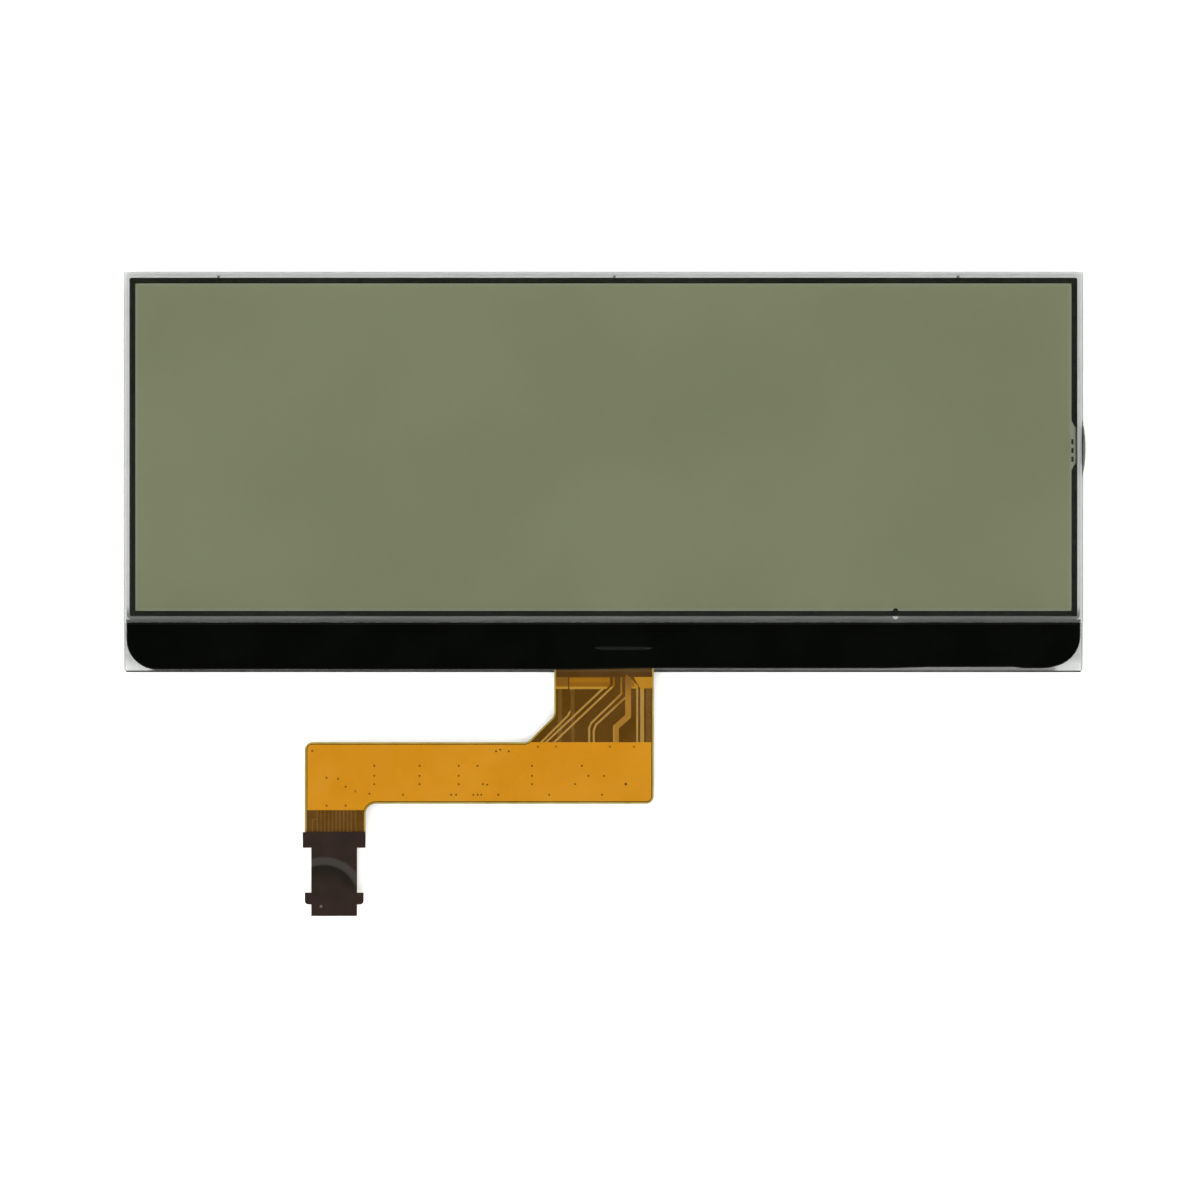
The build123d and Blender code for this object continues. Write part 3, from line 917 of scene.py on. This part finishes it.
@dataclass
class GlassCell:
    """The two glasses, the films on them and what lies between them."""

    clearance: float = 3 * MICRON
    edge_grind: float = 0.03 * MM
    grind_segments: int = 2
    ledge_corner: float = 0.4 * MM
    side_slope: float = 0.3
    glass: GlassFinish = GlassFinish(
        "clear_glass", light="fafbfb", dark="f8f9f9", roughness=0.03, transmission=1.0, ior=1.52,
        roughness_spread=0.01, cloud_size=20 * MM, grain_depth=0.05 * MICRON,
    )
    ground_side: Finish = Finish(
        "ground_edge", light="ccd2ce", dark="c0c7c2", roughness=0.6, alpha=0.6, specular=0.3,
        cloud_size=2 * MM, grain_size=0.1 * MM, grain_depth=2 * MICRON,
    )
    polarizer: PolarizerFinish = PolarizerFinish(
        "polarizer_film", light="26281e", dark="23251c", roughness=0.4, alpha=0.09, specular=0.35,
        cloud_size=18 * MM, grain_size=0.06 * MM, grain_depth=0.6 * MICRON,
    )
    crystal: CrystalFinish = CrystalFinish(
        "olive_crystal", light="a7ab85", dark="a4a883", roughness=0.6, specular=0.1,
        cloud_size=22 * MM, grain_size=0.3 * MM,
    )
    seal: SealFinish = SealFinish(
        "seal_resin", light="1e2014", dark="15170e", roughness=0.6, specular=0.03, corner="a6aa87",
    )
    silver: SealFinish = SealFinish(
        "silver_paste", light="0a0c0a", dark="080a08", roughness=0.5, specular=0.05, grain_size=0.05 * MM,
        bare="eeeeec", bare_lower="eeeeec",
    )
    rear_film: Finish = Finish("rear_film", light="3a3d33", dark="33362c", roughness=0.45)
    mirror: Finish = Finish(
        "mirror_film", light="c9cbc8", dark="bfc1be", roughness=0.32, metallic=0.9, grain_size=0.08 * MM,
    )

    def sheet(self, node: str, name: str) -> Piece:
        """Models one glass just inside its solid, with ground edges.

        Args:
            node: The solid of the glass.
            name: The piece's name.

        Returns:
            The glass sheet.
        """
        low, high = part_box(node)
        gap = Vector((0, 0, self.clearance))
        piece = block(name, low + gap, high - gap)
        if node == "rear_glass":
            near = low.y + self.clearance
            edit(piece, Element.EDGE, lambda edge, mesh: all(
                mesh.vertices[i].co.y < near for i in edge.vertices
            ) and mesh.vertices[edge.vertices[0]].co.x == mesh.vertices[edge.vertices[1]].co.x)
            bpy.ops.mesh.bevel(offset=self.ledge_corner, offset_type="WIDTH", segments=1)
        apply_modifier(piece, "BEVEL", width=self.edge_grind, segments=self.grind_segments,
                       limit_method="ANGLE")
        finish_mesh(piece)
        for face in piece.data.polygons:
            face.material_index = 1 if abs(face.normal.z) < self.side_slope else 0
        return piece

    def build(self) -> None:
        """Models the glasses and dresses the cell."""
        glass, edge_grey = self.glass.make(), self.ground_side.make()
        for node in ("front_glass", "rear_glass"):
            piece = self.sheet(node, node + "_sheet")
            mount(piece, glass, "clear_glass", node)
            piece.data.materials.append(edge_grey)
        dress(self.polarizer, "front_polarizer")
        dress(self.crystal, "liquid_crystal")
        dress(self.rear_film, "rear_polarizer")
        dress(self.mirror, "reflector")
        dress(self.silver, "transfer_dot")
        dress(self.seal, "perimeter_seal", "port_pillars")


@dataclass
class PortBead:
    """The resin that closes the filling port, with its bead on the glass edges."""

    steepness: float = 0.6
    shift: float = -0.36 * MM
    taper: float = 0.4 * MM
    clearance: float = 2 * MICRON
    segments: int = 64
    rings: int = 48
    smooth_below: float = 40.0
    resin: PlugFinish = PlugFinish(
        "clear_grey_resin", light="787b5c", dark="707355", roughness=0.3, specular=0.12,
        cloud_size=1.2 * MM, grain_size=0.2 * MM,
    )

    def __post_init__(self) -> None:
        """Reads the places of the port from the panel."""
        self.low, self.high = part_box("end_seal")
        self.gap_low, self.gap_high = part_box("liquid_crystal")
        self.glass_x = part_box("front_glass")[1].x

    def bead(self) -> Piece:
        """Models the bead as a cap on the glass edges, cut from a long rounded form.

        Returns:
            The bead.
        """
        middle = (self.low + self.high) / 2
        width = math.sqrt(1 - self.steepness ** 2)
        reach = (self.high.x - self.glass_x) / (1 - self.steepness)
        piece = finish_mesh(primitive(
            "port_bead", bpy.ops.mesh.primitive_uv_sphere_add,
            segments=self.segments, ring_count=self.rings, radius=1,
            location=(self.glass_x - reach * self.steepness, middle.y + self.shift, middle.z),
            scale=(reach, (self.high.y - self.low.y) / 2 / width, (self.high.z - self.low.z) / 2 / width),
        ))
        edit(piece, Element.FACE, lambda face, mesh: True)
        bpy.ops.mesh.bisect(
            plane_co=(self.glass_x + self.clearance, 0, 0), plane_no=(1, 0, 0),
            use_fill=True, clear_inner=True,
        )
        return finish_mesh(piece)

    def between(self, name: str, low: tuple[float, float], high: tuple[float, float]) -> Piece:
        """Models resin in the gap between the glasses.

        Args:
            name: The piece's name.
            low: Its lowest corner in plan.
            high: Its highest corner in plan.

        Returns:
            The resin as a thin block.
        """
        floor, ceiling = self.gap_low.z + self.clearance, self.gap_high.z - self.clearance
        piece = block(name, (*low, floor), (*high, ceiling))
        apply_modifier(piece, "BEVEL", width=self.clearance, segments=1, limit_method="ANGLE")
        return piece

    def build(self) -> None:
        """Models the plug in the port, the resin drawn in at the glass edge and the bead."""
        inner_x = self.glass_x - self.resin.bead_depth
        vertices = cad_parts["end_seal"].data.vertices
        plugged = [v.co.y for v in vertices if v.co.x < inner_x - self.clearance]
        plug = self.between("port_plug", (self.low.x, min(plugged)), (inner_x, max(plugged)))
        drawn = self.between(
            "port_wick", (inner_x + self.clearance, self.low.y + self.shift + self.taper),
            (self.glass_x, self.high.y + self.shift - self.taper),
        )
        piece = join([self.bead(), plug, drawn])
        smooth(piece, self.smooth_below)
        mount(piece, self.resin.make(), "clear_grey_resin", "end_seal")


@dataclass
class LedgeResin:
    """The black resin over the ledge: rolled edges, a meniscus on the glass and the chip's mound."""

    thickness: float = 0.35 * MM
    least_height: float = 0.012 * MM
    edge_roll: float = 0.14 * MM
    left_radius: float = 3.7 * MM
    right_radius: float = 3.85 * MM
    meniscus_reach: float = 0.24 * MM
    meniscus_curve: float = 2.2
    mound_front_slope: float = 0.28 * MM
    mound_front_inset: float = 0.2 * MM
    mound_back_slope: float = 1.4 * MM
    mound_end_slope: float = 1.6 * MM
    mound_end_inset: float = 0.85 * MM
    mound_cover: float = 0.11 * MM
    left_sag: float = 0.17 * MM
    right_sag: float = 0.03 * MM
    edge_lift: float = 0.15 * MM
    lift_from: float = 33.0 * MM
    lift_to: float = 40.0 * MM
    run_middle: float = 51.8 * MM
    run_reach: float = 2.0 * MM
    run_sharpness: int = 6
    ripple: float = 0.03 * MM
    ripple_waves: tuple[float, float] = (5.1 * MM, 13.7 * MM)
    clearance: float = 3 * MICRON
    tool_depth: float = 0.1 * MM
    tool_reach: float = 1.0 * MM
    smooth_below: float = 35.0
    columns: int = 600
    rows: int = 72
    end_bunching: float = 0.5
    resin: Finish = Finish(
        "black_resin", light="060705", dark="040503", roughness=0.12, specular=0.035,
        cloud_size=6 * MM, grain_size=0.6 * MM, grain_depth=0.3 * MICRON, roughness_spread=0.015,
    )
    thin_resin: Finish = Finish("thin_resin", light="82847e", dark="7c7e78", roughness=0.5, specular=0.1)
    silicon: Finish = Finish("bare_silicon", light="4a4d52", dark="42454a", roughness=0.2, metallic=0.8)
    gold: Finish = Finish("gold_plate", light="d9b25a", dark="cfa64c", roughness=0.28, metallic=1.0)
    bond: Finish = Finish("bond_adhesive", light="b9a26a", dark="ad965e", roughness=0.4)

    def __post_init__(self) -> None:
        """Reads the places of the ledge from the panel."""
        self.low, self.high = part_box("ledge_coating")
        self.chip_low, self.chip_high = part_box("driver_chip")
        self.glass_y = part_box("front_glass")[0].y
        self.gap_low, self.gap_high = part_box("liquid_crystal")
        self.neck_low, self.neck_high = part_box("flex_bond_film")

    def front(self, x: float) -> float:
        """Where the wavy front edge lies: lowest on the left, with a run of resin near the right end.

        Args:
            x: The place along the ledge.

        Returns:
            The y of the edge, as if it had no rounded corners.
        """
        run = math.exp(-((x - self.run_middle) / self.run_reach) ** self.run_sharpness)
        short, long = self.ripple_waves
        wave = math.sin(x / short) * math.sin(x / long + 1)
        over_neck = step(x, self.neck_low.x, self.neck_high.x)
        sag = self.left_sag + (self.right_sag - self.left_sag) * over_neck
        lift = self.edge_lift * step(x, self.lift_from, self.lift_to) * (1 - run)
        return self.low.y - sag + lift + self.ripple * (1 + wave) / 2

    def corner(self, x: float) -> tuple[float, float]:
        """The radius of the corner that a place is nearest to, and how far it is from that side."""
        left, right = x - self.low.x, self.high.x - x
        return (self.left_radius, left) if left < right else (self.right_radius, right)

    def edge(self, x: float) -> float:
        """Where the front edge lies, with its rounded corners.

        Args:
            x: The place along the ledge.

        Returns:
            The y of the edge.
        """
        radius, side = self.corner(x)
        if side >= radius:
            return self.front(x)
        return self.front(x) + radius - math.sqrt(max(radius ** 2 - (radius - side) ** 2, 0))

    def inside(self, x: float, y: float) -> float:
        """How far a place lies inside the edge.

        Args:
            x: The place along the ledge.
            y: The place across it.

        Returns:
            The distance from the nearest side or from the front edge.
        """
        radius, side = self.corner(x)
        behind = y - self.front(x)
        if side < radius and behind < radius:
            return max(radius - math.hypot(radius - side, radius - behind), 0)
        return min(side, behind)

    def height(self, x: float, y: float) -> float:
        """The height of the resin above the ledge.

        Args:
            x: The place along the ledge.
            y: The place across it.

        Returns:
            The layer's height with its rolled edge, meniscus and mound.
        """
        roll = min(self.inside(x, y) / self.edge_roll, 1)
        height = self.thickness * math.sqrt(max(1 - (1 - roll) ** 2, 0))
        _, side = self.corner(x)
        climb = max(1 - (self.glass_y - y) / self.meniscus_reach, 0) ** self.meniscus_curve
        rise = self.high.z - self.gap_low.z - self.thickness
        height += rise * climb * min(side / self.meniscus_reach, 1)
        out_x = max(self.chip_low.x - x, x - self.chip_high.x, -self.mound_end_inset)
        out_x += self.mound_end_inset
        before = max(self.chip_low.y + self.mound_front_inset - y, 0) / self.mound_front_slope
        behind = max(y - self.chip_high.y, 0) / self.mound_back_slope
        away = math.hypot(out_x / self.mound_end_slope, before, behind)
        mound = self.chip_high.z + self.mound_cover - self.gap_low.z - self.thickness
        height += mound * (1 - step(away, 0, 1))
        return height + self.least_height

    def coat(self) -> Piece:
        """Models the resin from a grid that is drawn over the ledge.

        Returns:
            The resin, with the flexible tail and the chip cut out of it.
        """
        piece = primitive("ledge_resin", bpy.ops.mesh.primitive_grid_add,
                          x_subdivisions=self.columns, y_subdivisions=self.rows, size=1)
        floor = self.gap_low.z + self.clearance
        glass_side = self.glass_y - self.clearance
        for vertex in piece.data.vertices:
            # the grid is one unit wide and lies round the origin
            along, across = vertex.co.x + 0.5, vertex.co.y + 0.5
            along -= self.end_bunching * math.sin(math.tau * along) / math.tau
            across = (1 - math.cos(math.pi * across)) / 2
            x = self.low.x + along * (self.high.x - self.low.x)
            y = self.edge(x) + across * (glass_side - self.edge(x))
            vertex.co = (x, y, floor + self.height(x, y))
        uses = {}
        for polygon in piece.data.polygons:
            for key in polygon.edge_keys:
                uses[key] = uses.get(key, 0) + 1
        edit(piece, Element.EDGE, lambda edge, mesh: uses[edge.key] == 1)
        bpy.ops.mesh.extrude_region_move()
        bpy.ops.object.mode_set(mode="OBJECT")
        for vertex in piece.data.vertices:
            if vertex.select:
                vertex.co.z = floor
        bpy.ops.object.mode_set(mode="EDIT")
        bpy.ops.mesh.edge_face_add()
        finish_mesh(piece)
        self.cut_out(piece)
        smooth(piece, self.smooth_below)
        return piece

    def cut_out(self, piece: Piece) -> None:
        """Cuts the bonded end of the tail, the chip and its adhesive out of the resin.

        Args:
            piece: The resin.
        """
        tail_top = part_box("flex_front_coverlay")[1].z + self.clearance
        below = Vector((0, 0, self.tool_depth))
        ahead = Vector((0, self.tool_reach, 0))
        grow = Vector((self.clearance,) * 3)
        top = Vector((self.neck_high.x, self.neck_high.y, tail_top))
        cut(piece, block("neck_tool", self.neck_low - below - ahead, top))
        film_low, film_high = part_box("chip_bond_film")
        cut(piece, block("film_tool", film_low - below, film_high + grow))
        cut(piece, block("chip_tool", self.chip_low - grow - below, self.chip_high + grow))

    def wick(self) -> Piece:
        """Models the film of resin that is drawn into the gap between the glasses.

        Returns:
            The film.
        """
        seal_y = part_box("perimeter_seal")[0].y
        low = (self.low.x, self.glass_y, self.gap_low.z + self.clearance)
        high = (self.high.x, seal_y, self.gap_high.z - self.clearance)
        piece = block("ledge_wick", low, high)
        apply_modifier(piece, "BEVEL", width=self.clearance / 2, segments=1, limit_method="ANGLE")
        return piece

    def build(self) -> None:
        """Models the resin and dresses what lies in it."""
        wick = self.wick()
        mount(self.coat(), self.resin.make(), "black_resin", "ledge_coating")
        mount(wick, self.thin_resin.make(), "black_resin", "ledge_coating")
        dress(self.silicon, "driver_chip")
        dress(self.gold, "chip_bumps", "bond_fingers", "contact_fingers")
        dress(self.bond, "chip_bond_film", "flex_bond_film")


@dataclass
class FlexTail:
    """The flexible tail: copper between see-through films, and its stiff plug-in end."""

    bar_drop: float = 8.41 * MM
    clearance: float = 3 * MICRON
    cover: Finish = Finish(
        "amber_cover", light="643f04", dark="5a3803", roughness=0.22, alpha=0.17, specular=0.35,
        cloud_size=4 * MM, grain_size=0.25 * MM, grain_depth=1.2 * MICRON,
    )
    film_edge: Finish = Finish(
        "film_edge", light="9c8a3e", dark="8f7d36", roughness=0.35, alpha=0.72, specular=0.3,
        cloud_size=2 * MM,
    )
    edge_width: float = 0.2 * MM
    base: BaseFinish = BaseFinish(
        "polyimide", light="64430a", dark="523707", roughness=0.4, alpha=0.42, specular=0.15,
        cloud_size=2.6 * MM,
    )
    copper: CopperFinish = CopperFinish(
        "etched_copper", light="de9917", dark="da9412", roughness=0.5, metallic=0.05, specular=0.12,
        cloud_size=5 * MM, grain_size=0.12 * MM,
    )
    back_copper: Finish = Finish(
        "back_copper", light="deb45c", dark="d0a650", roughness=0.45, metallic=0.1, grain_size=0.12 * MM,
    )
    back_cover: Finish = Finish("brown_cover", light="6e490c", dark="5e3e09", roughness=0.3, specular=0.3)
    barrels: Finish = Finish("via_barrels", light="5c370a", dark="4c2d08", roughness=0.5, specular=0.1)
    sheet: StiffenerFinish = StiffenerFinish(
        "dark_polyimide", light="291f1c", dark="241c19", roughness=0.16, specular=0.05,
        cloud_size=2.5 * MM, grain_size=0.2 * MM, grain_depth=0.4 * MICRON, roughness_spread=0.01,
    )
    glue: Finish = Finish("clear_glue", light="c9b88a", dark="bda97a", roughness=0.3)

    def build(self) -> None:
        """Models the two see-through films and dresses the layers."""
        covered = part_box("flex_front_coverlay")[1].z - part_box("flex_front_copper")[1].z
        cover = sheet_of("flex_front_coverlay", "amber_cover_sheet", drop=0.0,
                         thickness=covered - self.clearance, edge_width=self.edge_width)
        mount(cover, self.cover.make(), "amber_cover", "flex_front_coverlay")
        cover.data.materials.append(self.film_edge.make())
        low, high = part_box("flex_base_film")
        base = sheet_of("flex_base_film", "base_film_sheet", drop=self.clearance,
                        thickness=high.z - low.z - 2 * self.clearance)
        mount(base, self.base.make(), "polyimide", "flex_base_film")
        dress(self.copper, "flex_front_copper")
        dress(self.back_copper, "flex_back_copper")
        dress(self.back_cover, "flex_back_coverlay")
        dress(self.barrels, "flex_vias")
        dress(self.sheet, "tail_stiffener")
        dress(self.glue, "stiffener_glue")


class Side(Enum):
    """Where a soft box stands, as the direction from the panel."""

    FRONT = (-0.1, -0.64, 0.76)
    LEFT = (-0.74, 0.2, 0.64)
    RIGHT = (0.72, 0.36, 0.6)


@dataclass
class Studio:
    """The floor, the light and the camera."""

    floor_size: float = 6.0
    floor_colour: Colour = "f6f6f4"
    floor_roughness: float = 0.9
    floor_glow: float = 0.14
    box_distance: float = 0.75
    box_size: float = 0.8
    box_power: tuple[tuple[Side, float], ...] = ((Side.FRONT, 5.8), (Side.LEFT, 4.3), (Side.RIGHT, 4.3))
    sky_low: float = 0.9
    sky_high: float = 0.03
    sky_band: tuple[float, float] = (0.45, 0.8)
    see_through_up_to: float = 0.3
    no_bounce: float = 0.5
    lens: float = 200.0
    sensor: float = 36.0
    clip: tuple[float, float] = (0.01, 20.0)
    view_width: float = 144.0 * MM
    view_middle: tuple[float, float] = (-0.41 * MM, -18.36 * MM)

    def floor(self) -> None:
        """Lays the pale floor, which keeps the panel's soft shadow."""
        floor = primitive("studio_floor", bpy.ops.mesh.primitive_plane_add, size=self.floor_size)
        material = bpy.data.materials.new("floor_paper")
        material.use_nodes = True
        desk = Desk(material.node_tree)
        rays = desk.add("LightPath").outputs
        seen = desk.maths("MAXIMUM", rays["Is Camera Ray"], desk.maths(
            "MAXIMUM", rays["Is Glossy Ray"], rays["Is Transmission Ray"]))
        desk.fill(material.node_tree.nodes["Principled BSDF"], {
            "Base Color": self.floor_colour, "Roughness": self.floor_roughness,
            "Specular IOR Level": 0.0, "Emission Color": WHITE,
            "Emission Strength": desk.maths("MULTIPLY", seen, self.floor_glow),
        })
        floor.data.materials.append(material)

    def sky(self) -> None:
        """Makes the sky pale around the panel and dark overhead, and white behind it."""
        world = bpy.data.worlds.new("studio_sky")
        bpy.context.scene.world = world
        world.use_nodes = True
        desk = Desk(world.node_tree)
        rays = desk.add("LightPath").outputs
        up = desk.add("SeparateXYZ", {0: desk.add("TexCoord").outputs["Generated"]}).outputs["Z"]
        direct = desk.maths("LESS_THAN", rays["Diffuse Depth"], self.no_bounce)
        below = desk.maths("LESS_THAN", up, self.see_through_up_to)
        behind = desk.maths("MULTIPLY", direct, below)
        through = desk.maths("MULTIPLY", rays["Is Transmission Ray"], behind)
        seen = desk.maths("MAXIMUM", rays["Is Camera Ray"], through)
        level = desk.ramp(up, *self.sky_band, self.sky_low, self.sky_high)
        strength = desk.ramp(seen, 0.0, 1.0, level, 1.0)
        desk.fill(world.node_tree.nodes["Background"], {"Color": WHITE, "Strength": strength})

    def soft_boxes(self) -> None:
        """Stands the soft boxes round the panel, aimed at its middle."""
        for side, power in self.box_power:
            lamp = bpy.data.lights.new("soft_box_" + side.name.lower(), "AREA")
            lamp.size = self.box_size
            lamp.energy = power
            stand = bpy.data.objects.new(lamp.name, lamp)
            direction = Vector(side.value).normalized()
            stand.location = direction * self.box_distance
            stand.rotation_mode = "QUATERNION"
            stand.rotation_quaternion = direction.to_track_quat("Z", "Y")
            bpy.context.scene.collection.objects.link(stand)
            stand.visible_camera = False

    def camera(self) -> None:
        """Hangs the camera straight above, with the panel as wide as in the picture."""
        data = bpy.data.cameras.new("overhead_camera")
        data.lens, data.sensor_width = self.lens, self.sensor
        data.clip_start, data.clip_end = self.clip
        camera = bpy.data.objects.new(data.name, data)
        height = self.view_width * self.lens / self.sensor
        camera.location = (*self.view_middle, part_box("front_polarizer")[1].z + height)
        bpy.context.scene.collection.objects.link(camera)
        bpy.context.scene.camera = camera

    def build(self) -> None:
        """Sets up the whole studio."""
        self.floor()
        self.sky()
        self.soft_boxes()
        self.camera()
        bpy.context.scene.view_settings.view_transform = "Standard"


def main() -> None:
    """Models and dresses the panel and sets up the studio."""
    logging.basicConfig(level=logging.INFO, format="%(message)s")
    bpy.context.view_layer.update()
    for part in (GlassCell(), PortBead(), LedgeResin(), FlexTail(), Studio()):
        part.build()
        log.info("%s is done", type(part).__name__)


if __name__ == "__main__":
    main()
